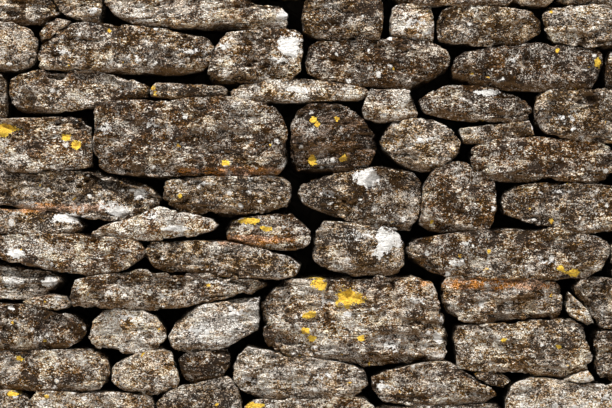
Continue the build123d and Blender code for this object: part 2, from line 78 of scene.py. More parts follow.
# The part of the grid that the camera shows, and where the face is there; past these sides of that part a
# stone of the face needs fewer points
VIEW_WIDTH, VIEW_HEIGHT = 612.0, 408.0
VIEW_FACE = -0.253
CLOSE_LEFT, CLOSE_RIGHT = -0.70, 0.71
CLOSE_FOOT, CLOSE_TOP = 0.13, 1.05

# Which stones show at the wall's ends, and which run through both faces
END_FROM = 0.95
THROUGH_FROM = 0.1
MIRROR = np.array([1, -1, 1])

# Corners this near are one, and a face smaller than this is left out of a block's planes
SAME_POINT, SLIVER_AREA = 1e-5, 2e-6

# How far a stone swells past its flat-sided block, into the joints, and the same at the wall's ends
PROUD, END_PROUD = 0.0045, 0.001
# A stone at least this large has its relief in full
FULL_RELIEF_SIZE = 0.085
# Below this spacing of its points a stone also has the finest relief
FINE_STEP = 0.006
# Depths of the rings of points behind a face, in steps, and how many heights the ledges take turns with
RING_DEPTHS = (1.0, 2.1, 3.4, 5.0, 7.2, 10.0, 14.0)
LEDGE_COUNT = 4096
# What a patch of lichen or rust measures in its middle; its listed outline is at this less one
PATCH_DEPTH = 1.6

LIMESTONE = "face limestone"
LIGHTEST = (0.88, 0.85, 0.80, 1.0)
CRUST_THICKNESS = 0.0006

# Each lamp's place, size and share of the set power, and what all are turned to
LAMPS = (
    ("front lamp", (-1.3, -2.5, 5.7), 1.4, 1.0),
    ("side lamp", (4.2, -2.4, 2.6), 2.4, 0.16),
    ("back lamp", (1.6, 4.8, 4.2), 3.0, 0.45),
)
LAMP_AIM = (0.0, 0.0, 0.6)
FLOOR_HALF = 14


def on_face(x, y):
    """The place along the wall and up it, in metres, of a point of the drawing's grid."""
    return WALL_LEFT + (x - GRID_LEFT) * GRID_STEP, (GRID_GROUND - y) * GRID_RISE


# Lichen that stands out on the front face: grid x and y, half width, half height
WHITE_CRUSTS = (
    (368, 178, 14, 9), (386, 240, 14, 13), (296, 89, 11, 4), (289, 46, 12, 12), (139, 193, 7, 6),
    (118, 212, 13, 6), (16, 253, 9, 4), (488, 92, 14, 3), (283, 14, 8, 5), (437, 337, 6, 5),
    (382, 385, 9, 4), (50, 282, 8, 5), (175, 228, 14, 3), (65, 218, 14, 5), (347, 313, 5, 3),
)
# Where it is thin and broken
THIN_CRUSTS = (
    (92, 10, 9, 8), (152, 216, 12, 6), (122, 318, 18, 8), (200, 184, 26, 4), (240, 312, 18, 7),
    (200, 330, 20, 10), (560, 192, 22, 4), (330, 375, 22, 6), (600, 396, 14, 7), (412, 20, 16, 10),
    (225, 44, 12, 7), (134, 58, 14, 5), (300, 262, 16, 4), (118, 292, 24, 4), (205, 282, 30, 4),
    (515, 60, 10, 5), (103, 128, 12, 9), (154, 126, 12, 8), (600, 236, 12, 5), (466, 244, 16, 5),
    (415, 300, 14, 9), (330, 300, 16, 8), (390, 345, 18, 9), (250, 378, 14, 6), (455, 262, 24, 4),
    (545, 262, 18, 4), (190, 50, 22, 5), (60, 50, 14, 6), (110, 205, 30, 6), (360, 235, 26, 8),
    (330, 195, 16, 6), (560, 118, 26, 8), (420, 140, 18, 8), (15, 280, 16, 6), (280, 60, 14, 8),
)
GOLD_CRUSTS = (
    (349, 298, 13, 10), (320, 283, 9, 6), (309, 315, 8, 4), (305, 330, 4, 4), (312, 338, 4, 3),
    (361, 337, 4, 3), (248, 221, 12, 3), (268, 229, 7, 3), (5, 130, 9, 7), (65, 137, 5, 4),
    (572, 273, 6, 3), (560, 268, 4, 3), (313, 120, 4, 3), (317, 124, 3, 3), (312, 160, 4, 5),
    (343, 159, 4, 4), (557, 346, 4, 3), (502, 339, 3, 3), (257, 404, 12, 3), (15, 392, 7, 3),
    (225, 163, 4, 3), (180, 196, 3, 3), (20, 358, 4, 3), (600, 62, 4, 5), (75, 145, 4, 4),
)
# Bands of iron staining on the front face
RUST_BANDS = ((500, 284, 50, 5), (240, 171, 50, 3.5), (250, 240, 30, 4), (60, 208, 50, 3.5))

# Stones of the front face that are plainly lighter, darker or browner than the rest: grid x and y of a point
# on the stone, then lightness and warmth
STANDOUT_STONES = (
    (412, 24, 0.75, 0.3), (210, 12, 0.5, 0.2), (345, 16, -0.5, 0.0), (490, 28, -0.4, 0.0),
    (378, 62, -0.5, 0.8), (525, 65, -0.7, 1.0), (332, 138, -0.7, 1.9), (298, 90, 0.35, 0.0),
    (390, 105, 0.1, 0.3), (420, 142, 0.4, -0.2), (45, 145, 0.05, 0.3), (228, 195, -0.35, 0.0),
    (360, 200, -0.55, 0.0), (78, 195, -0.3, -0.2), (150, 225, 0.9, 0.5), (268, 230, 0.3, 0.7),
    (60, 258, 0.2, 0.4), (160, 290, 0.2, 0.3), (350, 320, 0.35, 0.2), (500, 300, 0.15, 0.2),
    (215, 330, 0.9, -1.0), (128, 330, 0.9, 0.1), (300, 375, 0.5, -0.5), (577, 378, 2.6, 0.0),
    (48, 304, 0.6, 0.2), (578, 310, 1.0, 0.1), (52, 26, 0.5, 0.3), (520, 350, 0.1, 0.1),
    (575, 115, -0.4, 0.0), (190, 137, -0.3, 0.4), (215, 262, -0.2, 0.0), (52, 372, 0.1, 0.2),
    (560, 397, 0.8, -0.3),
)


class DressedStoneSettings(bpy.types.PropertyGroup):
    """How a stone is worn."""

    arris: bpy.props.FloatProperty(
        name="Arris", description="How round the edges are worn", default=0.0015, unit="LENGTH")
    lump: bpy.props.FloatProperty(
        name="Lumps", description="Height of the broad swellings of a face", default=0.0060, unit="LENGTH")
    ledge: bpy.props.FloatProperty(
        name="Ledges", description="Depth of the steps between the beds of the rock", default=0.0115,
        unit="LENGTH")
    chip: bpy.props.FloatProperty(
        name="Chips", description="Depth of the hollows broken out of a face", default=0.017, unit="LENGTH")
    crease: bpy.props.FloatProperty(
        name="Creases", description="Depth of the clefts along the beds", default=0.0070, unit="LENGTH")
    pit: bpy.props.FloatProperty(
        name="Pits", description="Height of the finest roughness of the surface", default=0.0026,
        unit="LENGTH")
    close_step: bpy.props.FloatProperty(
        name="Close step", description="Spacing of points on the stones seen closest", default=0.0034,
        unit="LENGTH")
    far_step: bpy.props.FloatProperty(
        name="Far step", description="Spacing of points on the other stones", default=0.0090, unit="LENGTH")
    seed: bpy.props.IntProperty(name="Seed", description="Picks the pattern of wear", default=7)


class LimestoneSettings(bpy.types.PropertyGroup):
    """Colours of the bare and weathered rock."""

    body: bpy.props.FloatVectorProperty(
        name="Body", description="The rock under its weathering", default=(0.292, 0.188, 0.102),
        subtype="COLOR")
    brown: bpy.props.FloatVectorProperty(
        name="Brown", description="Where iron has stained it", default=(0.155, 0.080, 0.035), subtype="COLOR")
    cream: bpy.props.FloatVectorProperty(
        name="Cream", description="Fresh faces and pale flakes", default=(0.70, 0.587, 0.452),
        subtype="COLOR")
    tan: bpy.props.FloatVectorProperty(
        name="Tan", description="Fresh faces where the rock is browner", default=(0.47, 0.368, 0.260),
        subtype="COLOR")
    flake: bpy.props.FloatVectorProperty(
        name="Flakes", description="The palest flakes", default=(0.78, 0.73, 0.645), subtype="COLOR")
    ruddy: bpy.props.FloatVectorProperty(
        name="Ruddy", description="Fresh faces of the warmest stones", default=(0.215, 0.133, 0.086),
        subtype="COLOR")
    iron: bpy.props.FloatVectorProperty(
        name="Iron", description="Bands of rust", default=(0.50, 0.190, 0.032), subtype="COLOR")
    soot: bpy.props.FloatVectorProperty(
        name="Soot", description="The dark film on old faces", default=(0.020, 0.010, 0.0035),
        subtype="COLOR")
    # Painted shade: the near-black colour that stands in for the shadow deep in the joints, also used in the
    # hearting
    deep_joint_shade: bpy.props.FloatVectorProperty(
        name="Deep joint shade", description="Painted shade deep in the joints", default=(0.020, 0.012, 0.005), subtype="COLOR")
    # Partly painted shade: faces that turn down are painted browner and darker
    underside_shade_and_brown: bpy.props.FloatVectorProperty(
        name="Underside", description="Where a stone faces down", default=(0.195, 0.107, 0.044),
        subtype="COLOR")
    # Painted shade: the hearting is kept this dark to stand in for the shadow seen through the joints
    rubble: bpy.props.FloatVectorProperty(
        name="Rubble", description="The small stone of the hearting", default=(0.05, 0.038, 0.026),
        subtype="COLOR")


class LichenSettings(bpy.types.PropertyGroup):
    """Colours and amount of the crust lichen."""

    white: bpy.props.FloatVectorProperty(
        name="White", description="The white crust", default=(0.84, 0.81, 0.77), subtype="COLOR")
    grey: bpy.props.FloatVectorProperty(
        name="Grey", description="The thin grey crust", default=(0.49, 0.437, 0.375), subtype="COLOR")
    gold: bpy.props.FloatVectorProperty(
        name="Gold", description="The yellow crust", default=(0.95, 0.68, 0.09), subtype="COLOR")
    old_gold: bpy.props.FloatVectorProperty(
        name="Old gold", description="The yellow crust where it is worn", default=(0.66, 0.31, 0.04),
        subtype="COLOR")
    scatter: bpy.props.FloatProperty(
        name="Scatter", description="How much of the small thin crust there is", default=1.0, min=0.0)


class StudioSettings(bpy.types.PropertyGroup):
    """Camera, light and floor."""

    distance: bpy.props.FloatProperty(
        name="Distance", description="From the camera to the front face", default=6.0, unit="LENGTH")
    sky: bpy.props.FloatProperty(name="Sky", description="Strength of the even light", default=0.25)
    lamp: bpy.props.FloatProperty(
        name="Lamp", description="Power of the large lamp above the front", default=515.0, unit="POWER")


# Stones


def stones_of(node):
    """The solids of a frame node: the outward normals and distances of each one's planes, and its corners."""
    shape = bmesh.new()
    shape.from_mesh(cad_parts[node].data)
    bmesh.ops.remove_doubles(shape, verts=shape.verts, dist=SAME_POINT)
    shape.faces.ensure_lookup_table()
    seen, stones = set(), []
    for first in shape.faces:
        if first.index in seen:
            continue
        seen.add(first.index)
        faces, todo = [], [first]
        while todo:
            face = todo.pop()
            faces.append(face)
            for vert in face.verts:
                for near in vert.link_faces:
                    if near.index not in seen:
                        seen.add(near.index)
                        todo.append(near)
        planes, corners = {}, set()
        for face in faces:
            corners.update(tuple(vert.co) for vert in face.verts)
            if face.calc_area() > SLIVER_AREA:
                face.normal_update()
                normal = face.normal
                away = normal.dot(face.verts[0].co)
                planes.setdefault((*(round(v, 2) for v in normal), round(away, 3)), (*normal, away))
        stones.append((np.array(list(planes.values())), np.array(sorted(corners))))
    shape.free()
    return stones


def lattice_noise(points, seed):
    """Smooth noise from -1 to 1 at each point."""
    cell = np.floor(points).astype(np.int64)
    part = points - cell
    part = part * part * (3 - 2 * part)
    total = np.zeros(len(points))
    for corner in range(8):
        step = np.array([corner & 1, corner >> 1 & 1, corner >> 2])
        x, y, z = (cell + step).T
        mixed = (x * 73856093 ^ y * 19349663 ^ z * 83492791 ^ seed * 2654435761) & 0xFFFFFFFF
        mixed = (mixed ^ mixed >> 15) * 2246822519 & 0xFFFFFFFF
        mixed = (mixed ^ mixed >> 13) * 3266489917 & 0xFFFFFFFF
        value = ((mixed ^ mixed >> 16) & 0xFFFF) / 32767.5 - 1
        total += value * np.prod(np.where(step, part, 1 - part), axis=1)
    return total


def layered_noise(points, size, octaves, seed):
    """Noise whose largest pattern has the given size, with finer octaves on it."""
    total, weight = np.zeros(len(points)), 1.0
    for octave in range(octaves):
        total += weight * lattice_noise(points * (2.03 ** octave / size), seed + 31 * octave)
        weight *= 0.55
    return total


def smooth_step(low, high, values):
    """Zero below low, one above high, and a smooth rise between."""
    share = np.clip((values - low) / (high - low), 0, 1)
    return share * share * (3 - 2 * share)


def hewn(planes, corners, chance, faces):
    """The planes of a block without its even splay, with its faces in facets and its arrises knocked."""
    slant = np.abs(planes[:, 1])
    planes = planes[(slant < 0.06) | (slant > 0.6)]
    low, high = corners.min(axis=0), corners.max(axis=0)
    small = min(high[0] - low[0], high[2] - low[2])
    cuts = []
    for side in faces:
        # Broad facets of the face
        for _ in range(3):
            normal = (chance.normal(0, 0.10), side, chance.normal(0, 0.14))
            cuts.append((normal, chance.uniform(0.0, 0.06)))
        # Undercuts along its foot
        for _ in range(3):
            normal = (chance.normal(0, 0.25), side * chance.uniform(0.5, 1.6), -1)
            cuts.append((normal, chance.uniform(0.03, 0.11)))
        # Facets all round its edge, more of them on a longer stone
        for _ in range(5 + int(12 * (high[0] - low[0]))):
            turn = chance.uniform(0, 2 * math.pi)
            along, out = chance.uniform(0.5, 1.0), chance.uniform(0.9, 2.8)
            normal = (math.cos(turn) * along, side * out, math.sin(turn) * 0.85)
            cuts.append((normal, 0.006 + 0.09 * chance.uniform(0, 1) ** 2))
    # Knocks that take off corners of its outline
    for _ in range(6):
        turn = chance.uniform(0, 2 * math.pi)
        normal = (math.cos(turn), chance.uniform(-0.1, 0.1), math.sin(turn))
        cuts.append((normal, chance.uniform(0.0, 0.018)))
    made = []
    for normal, depth in cuts:
        normal = np.array(normal) / np.linalg.norm(normal)
        made.append((*normal, (corners @ normal).max() - depth * small))
    return np.concatenate([planes, np.array(made)])


def band(loop, ring):
    """Quads between two rings of as many points."""
    return [(loop[k - 1], ring[k - 1], ring[k], loop[k]) for k in range(len(loop))]


def box_net(low, high, step, both_faces, end_shows):
    """Points all over a box, with quads between them: fine on the front, wider apart down the sides.

    With one face only, its tail is left to one cap, whose points come third. With both, there is no cap.
    """
    size = high - low
    across = max(4, round(size[0] / step))
    up = max(4, round(size[2] / step))
    xs, zs = np.linspace(low[0], high[0], across + 1), np.linspace(low[2], high[2], up + 1)
    depths = [d * step for d in RING_DEPTHS if d * step < size[1] * 0.45]
    if both_faces:
        between = max(3, round((size[1] - 2 * depths[-1]) / (step * (2.0 if end_shows else 3.5))))
        middle = list(np.linspace(depths[-1], size[1] - depths[-1], between + 1)[1:-1])
        depths = depths + middle + [size[1] - d for d in reversed(depths)]
    elif end_shows:
        depths = depths + list(np.linspace(depths[-1], size[1], 3 + round(size[1] / (step * 3)))[1:])
    else:
        depths = depths + [size[1] * 0.6, size[1]]
    grid = [(x, low[1], z) for z in zs for x in xs]
    rows = [[j * (across + 1) + i for i in range(across + 1)] for j in range(up + 1)]
    quads = [(rows[j][i], rows[j][i + 1], rows[j + 1][i + 1], rows[j + 1][i])
             for j in range(up) for i in range(across)]
    right = [rows[j][-1] for j in range(1, up)]
    left = [rows[j][0] for j in range(up - 1, 0, -1)]
    rim = rows[0] + right + rows[-1][::-1] + left
    points, loop = list(grid), rim
    for depth in depths:
        ring = list(range(len(points), len(points) + len(rim)))
        points += [(grid[k][0], low[1] + depth, grid[k][2]) for k in rim]
        quads += band(loop, ring)
        loop = ring
    if not both_faces:
        return np.array(points), quads, tuple(loop)
    back, on_rim = {}, set(rim)
    for k, (x, _, z) in enumerate(grid):
        if k not in on_rim:
            back[k] = len(points)
            points.append((x, high[1], z))
    ring = list(range(len(points), len(points) + len(rim)))
    points += [(grid[k][0], high[1], grid[k][2]) for k in rim]
    back.update(zip(rim, ring))
    quads += band(loop, ring)
    quads += [tuple(back[k] for k in (rows[j][i], rows[j + 1][i], rows[j + 1][i + 1], rows[j][i + 1]))
              for j in range(up) for i in range(across)]
    return np.array(points), quads, None


def worn_block(planes, corners, net, corner_wear, arris, proud):
    """The net drawn in onto a block with its corners and arrises worn round, and the way out at each point.

    The sides are first joined with each other, and then more softly with the front and the tail.
    """
    centre = corners.mean(axis=0)
    way = net - centre
    way /= np.linalg.norm(way, axis=1)[:, None]
    away = planes[:, 3] - planes[:, :3] @ centre
    caps = np.abs(planes[:, 1]) > 0.9
    facing = way @ planes[:, :3].T
    reach = np.where(facing > 1e-6, away / np.maximum(facing, 1e-6), np.inf).min(axis=1)
    block = reach.copy()
    for _ in range(6):
        over = facing * reach[:, None] - away
        press = np.exp(np.clip(over[:, ~caps] / corner_wear, -80, 40))
        side = corner_wear * np.log(press.sum(axis=1))
        share = press / press.sum(axis=1)[:, None]
        both = np.concatenate([side[:, None], over[:, caps]], axis=1)
        pull = np.exp(np.clip(both / arris, -80, 40))
        total = pull.sum(axis=1)
        weight = pull / total[:, None]
        out = weight[:, :1] * (share @ planes[~caps, :3]) + weight[:, 1:] @ planes[caps, :3]
        slope = np.maximum((out * way).sum(axis=1), 0.05)
        reach = reach - (arris * np.log(total) - proud) / slope
    out /= np.linalg.norm(out, axis=1)[:, None]
    return centre + way * reach[:, None], centre + way * block[:, None], out


def patches(points, crusts, ragged):
    """How deep in a listed patch each point of the front face is, from PATCH_DEPTH in its middle to zero."""
    field = np.zeros(len(points))
    for x, y, half_width, half_height in crusts:
        along, up = on_face(x, y)
        across = (points[:, 0] - along) / (half_width * GRID_STEP)
        rise = (points[:, 2] - up) / (half_height * GRID_STEP)
        field = np.maximum(field, PATCH_DEPTH - np.hypot(across, rise) * (1 + 0.35 * ragged))
    return np.clip(field, 0, PATCH_DEPTH)


class Rock:
    """A rock in the making: one flat-sided stone of the frame, turned so that its face looks to the front."""

    def __init__(self, node, planes, corners, worn, close, both_faces):
        middle = (corners.min(axis=0) + corners.max(axis=0)) / 2
        self.worn, self.close = worn, close
        self.mirrored = node in BACK_NODES
        self.runs_across = node in ACROSS_NODES
        self.in_joint = node not in COPE_NODES
        self.key = round(abs(middle[0]) * 9973 + middle[2] * 7919) + (3571 if middle[0] < 0 else 0)
        self.chance = np.random.default_rng(worn.seed * 1000 + self.key + (500009 if self.mirrored else 0))
        if self.mirrored:
            planes = planes * np.array([1, -1, 1, 1])
            corners = corners * MIRROR
        self.planes, self.corners = planes, corners
        self.low, self.high = corners.min(axis=0), corners.max(axis=0)
        self.small = min(self.high[0] - self.low[0], self.high[2] - self.low[2])
        self.two_faced = both_faces or self.low[1] < -THROUGH_FROM and self.high[1] > THROUGH_FROM
        self.end_shows = self.high[0] > END_FROM or self.low[0] < -END_FROM
        beside = self.low[0] > CLOSE_RIGHT or self.high[0] < CLOSE_LEFT
        above = self.low[2] > CLOSE_TOP or self.high[2] < CLOSE_FOOT
        self.step = worn.far_step if not close or beside or above else worn.close_step
        self.look = None
        for x, y, *look in STANDOUT_STONES:
            along, up = on_face(x, y)
            spot = np.array([along, middle[1], up])
            if not self.mirrored and np.all(planes[:, :3] @ spot < planes[:, 3]):
                self.look = look

    def wear(self, proud):
        """Works out the rock's points and what they carry, and gives its quads and its cap."""
        net, quads, cap = box_net(self.low, self.high, self.step, self.two_faced, self.end_shows)
        arris = min(self.worn.arris * self.chance.uniform(0.75, 1.5), self.small * 0.14)
        cut = hewn(self.planes, self.corners, self.chance, (-1, 1) if self.two_faced else (-1,))
        proud = END_PROUD if self.end_shows else proud
        place, block, out = worn_block(cut, self.corners, net, arris * 0.25, arris, proud)
        self.depth = place[:, 1] - self.low[1]
        self.shift = self.chance.uniform(-40, 40, 3)
        self.seen = place + self.shift
        at_end = smooth_step(0.93, 0.97, np.abs(place[:, 0]))
        if self.runs_across:
            inner = np.maximum(smooth_step(0.06, 0.10, np.abs(place[:, 1])), at_end)
            place = block + (place - block) * inner[:, None]
        elif self.two_faced:
            inner = np.ones(len(place))
        else:
            inner = np.maximum(1 - smooth_step(0.07, 0.12, self.depth), at_end)
        self.place = place + out * self.relief(place, out, inner)[:, None]
        return quads, cap

    def relief(self, place, out, inner):
        """How far each point moves out: lumps, ledges, chips, creases and pits, less down the sides."""
        worn, chance, seen = self.worn, self.chance, self.seen
        tilt = chance.uniform(-0.16, 0.16)
        bed = place[:, 2] + tilt * place[:, 0] + 0.006 * lattice_noise(seen / 0.055, 3)
        thick = chance.uniform(0.010, 0.030)
        layer = bed / thick + 0.5 * lattice_noise(seen / 0.16, 5)
        level = np.floor(layer)
        steps = np.random.default_rng(self.key).uniform(0, 1, LEDGE_COUNT)
        here = steps[level.astype(int) % LEDGE_COUNT]
        above = steps[(level.astype(int) + 1) % LEDGE_COUNT]
        ledges = here + (above - here) * smooth_step(0.80, 1.0, layer - level)
        smoother = self.look and self.look[0] > 0.85
        self.bedding = chance.uniform(0.3, 1.5) * (0.35 if smoother else 1.0)
        broken = smooth_step(-0.2, 0.5, layered_noise(seen, 0.11, 2, 11))
        move = worn.lump * layered_noise(seen, 0.085, 3, 17)
        move -= worn.ledge * self.bedding * ledges * broken
        hollows = smooth_step(0.30, 0.50, layered_noise(seen, 0.065, 3, 23))
        move -= worn.chip * hollows * chance.uniform(0.3, 1)
        folded = np.stack([place[:, 0] * 0.6, place[:, 1], bed * 1.9], axis=1) + self.shift
        crease = smooth_step(0.74, 0.98, 1 - np.abs(layered_noise(folded, 0.060, 3, 53)))
        move -= worn.crease * crease * smooth_step(-0.3, 0.3, layered_noise(seen, 0.10, 2, 59))
        crumbled = layered_noise(seen * np.array([1, 1, 1.5]), 0.020, 3, 29)
        move += worn.pit * np.where(crumbled > 0, crumbled, 1.6 * crumbled)
        if self.step < FINE_STEP:
            move += worn.pit * 0.45 * lattice_noise(seen * np.array([1, 1, 1.4]) / 0.0085, 37)
        side = 1 - np.abs(out[:, 1])
        move -= worn.chip * 0.40 * side * smooth_step(0.15, 0.6, layered_noise(seen, 0.034, 2, 43))
        rough = min(1.0, self.small / FULL_RELIEF_SIZE)
        return move * (inner * rough * np.where(move > 0, 1 - 0.85 * side, 1 - 0.35 * side))

    def fields(self):
        """What the material needs to know at each point: its pattern's shift, its look, painted shade in the
        joints, and patches.
        """
        count = len(self.place)
        lightness, warmth = self.chance.normal(-0.08, 0.22), self.chance.normal(0.10, 0.30)
        if self.look:
            lightness, warmth = self.look
        inside = self.depth
        if self.two_faced:
            inside = np.minimum(inside, self.high[1] - self.low[1] - self.depth)
        if self.end_shows:
            end = self.high[0] if self.high[0] > END_FROM else self.low[0]
            inside = np.minimum(inside, np.abs(self.place[:, 0] - end))
        shown = (self.place[:, 1] < 0) * self.close
        ragged = layered_noise(self.seen, 0.02, 3, 41)
        white, thin, gold, rust = (patches(self.place, crusts, ragged)
                                   for crusts in (WHITE_CRUSTS, THIN_CRUSTS, GOLD_CRUSTS, RUST_BANDS))
        return {
            "shift": np.tile(self.shift, (count, 1)),
            "tone": np.full(count, lightness),
            "warmth": np.full(count, warmth),
            "strata": np.full(count, self.bedding - 0.3),
            # Painted shade: how deep a point lies in its joint, which paints it towards near black
            "joint_shade_depth": smooth_step(0.034, 0.150, inside) * self.in_joint,
            "white_crust": np.maximum(white, 0.5 * thin) * shown,
            "gold_crust": gold * shown,
            "rust": rust * shown,
        }


def dress(node, close=False, both_faces=False, proud=PROUD):
    """Stands rocks in for the blocks of one frame node, joined as one piece."""
    spots, quads, caps, fields = [], [], [], {}
    at = 0
    for planes, corners in stones_of(node):
        rock = Rock(node, planes, corners, bpy.context.scene.wall_stones, close, both_faces)
        faces, cap = rock.wear(proud)
        for name, values in rock.fields().items():
            fields.setdefault(name, []).append(values)
        if rock.mirrored:
            rock.place = rock.place * MIRROR
            faces = [face[::-1] for face in faces]
            cap = cap[::-1] if cap else None
        spots.append(rock.place)
        quads += [tuple(k + at for k in face) for face in faces]
        if cap:
            caps.append(tuple(k + at for k in cap[::-1]))
        at += len(rock.place)
    low, high = (np.array(corner) for corner in CAD_BOX)
    points = np.clip(np.concatenate(spots), low, high)
    mesh = bpy.data.meshes.new(f"{node}_rock")
    mesh.from_pydata(points.tolist(), [], quads + caps)
    mesh.polygons.foreach_set("use_smooth", np.ones(len(mesh.polygons), dtype=bool))
    for name, values in fields.items():
        kind, part = ("FLOAT_VECTOR", "vector") if name == "shift" else ("FLOAT", "value")
        mesh.attributes.new(name, kind, "POINT").data.foreach_set(part, np.concatenate(values).ravel())
    mesh.materials.append(limestone())
    mesh.update()
    piece = bpy.data.objects.new(f"{node}_rock", mesh)
    bpy.context.scene.collection.objects.link(piece)
    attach(piece, "root")
    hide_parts(node)


def dress_face(nodes, close):
    """Dress the courses of one face, and its footing."""
    for node in nodes:
        if "footing" in node:
            dress(node, close, proud=0.0)
        else:
            dress(node, close)


# Materials


class Tree:
    """A node tree that is written one node at a time."""

    def __init__(self, tree):
        self.tree = tree

    def node(self, kind, inputs=None, **settings):
        """A new node, with its settings, and with values or other nodes' outputs on its inputs."""
        made = self.tree.nodes.new(kind)
        for name, value in settings.items():
            setattr(made, name, value)
        for name, value in (inputs or {}).items():
            if isinstance(value, bpy.types.NodeSocket):
                self.tree.links.new(value, made.inputs[name])
            else:
                made.inputs[name].default_value = value
        return made

    def stretched(self, where, scale, shift=(0.0, 0.0, 0.0)):
        """A place with its axes scaled, and then shifted."""
        inputs = {"Vector": where, "Scale": scale, "Location": shift}
        return self.node("ShaderNodeMapping", inputs).outputs["Vector"]

    def noise(self, where, scale, detail, roughness, distortion=0.0):
        """Noise at a place, as a value round one half."""
        inputs = {"Vector": where, "Scale": scale, "Detail": detail, "Roughness": roughness,
                  "Distortion": distortion}
        return self.node("ShaderNodeTexNoise", inputs).outputs["Fac"]

    def ramp(self, value, low, high):
        """Zero below low, one above high, and a smooth rise between."""
        inputs = {"Value": value, "From Min": low, "From Max": high}
        return self.node("ShaderNodeMapRange", inputs, interpolation_type="SMOOTHSTEP").outputs["Result"]

    def maths(self, operation, one, other=0.0, clamp=False):
        """One value worked out from one or two others."""
        made = self.node("ShaderNodeMath", {0: one, 1: other}, operation=operation, use_clamp=clamp)
        return made.outputs[0]

    def times(self, value, factor):
        """One value times another."""
        return self.maths("MULTIPLY", value, factor)

    def less(self, one, other, clamp=False):
        """One value less another."""
        return self.maths("SUBTRACT", one, other, clamp)

    def total(self, first, *others):
        """The sum of some values."""
        for other in others:
            first = self.maths("ADD", first, other)
        return first

    def most(self, first, *others):
        """The largest of some values."""
        for other in others:
            first = self.maths("MAXIMUM", first, other)
        return first

    def swing(self, noise, amount):
        """How far a noise is from one half, times an amount."""
        return self.times(self.less(noise, 0.5), amount)

    def mix(self, share, one, other, blend="MIX"):
        """One colour over another, by a share."""
        made = self.node("ShaderNodeMix", {0: share, 6: one, 7: other}, data_type="RGBA", blend_type=blend)
        return made.outputs[2]

    def tinted(self, shade, value=1.0, saturation=1.0):
        """A colour made lighter or darker, and fuller or greyer."""
        inputs = {"Color": shade, "Value": value, "Saturation": saturation}
        return self.node("ShaderNodeHueSaturation", inputs).outputs["Color"]

    def field(self, name, output="Fac"):
        """A value that the mesh carries."""
        made = self.node("ShaderNodeAttribute", attribute_name=name, attribute_type="GEOMETRY")
        return made.outputs[output]


def new_group(name, inputs, outputs):
    """An empty node group with its sockets, its tree, and what it is given and gives out."""
    group = bpy.data.node_groups.new(name, "ShaderNodeTree")
    for way, sockets in (("INPUT", inputs), ("OUTPUT", outputs)):
        for label, kind in sockets.items():
            group.interface.new_socket(label, in_out=way, socket_type=f"NodeSocket{kind}")
    given, out = group.nodes.new("NodeGroupInput"), group.nodes.new("NodeGroupOutput")
    return group, Tree(group), given.outputs, out.inputs


def new_material(name):
    """An empty material and its tree."""
    material = bpy.data.materials.new(name)
    material.use_nodes = True
    material.node_tree.nodes.clear()
    return material, Tree(material.node_tree)


def colour(value):
    """A colour with its alpha."""
    return (*value, 1.0)


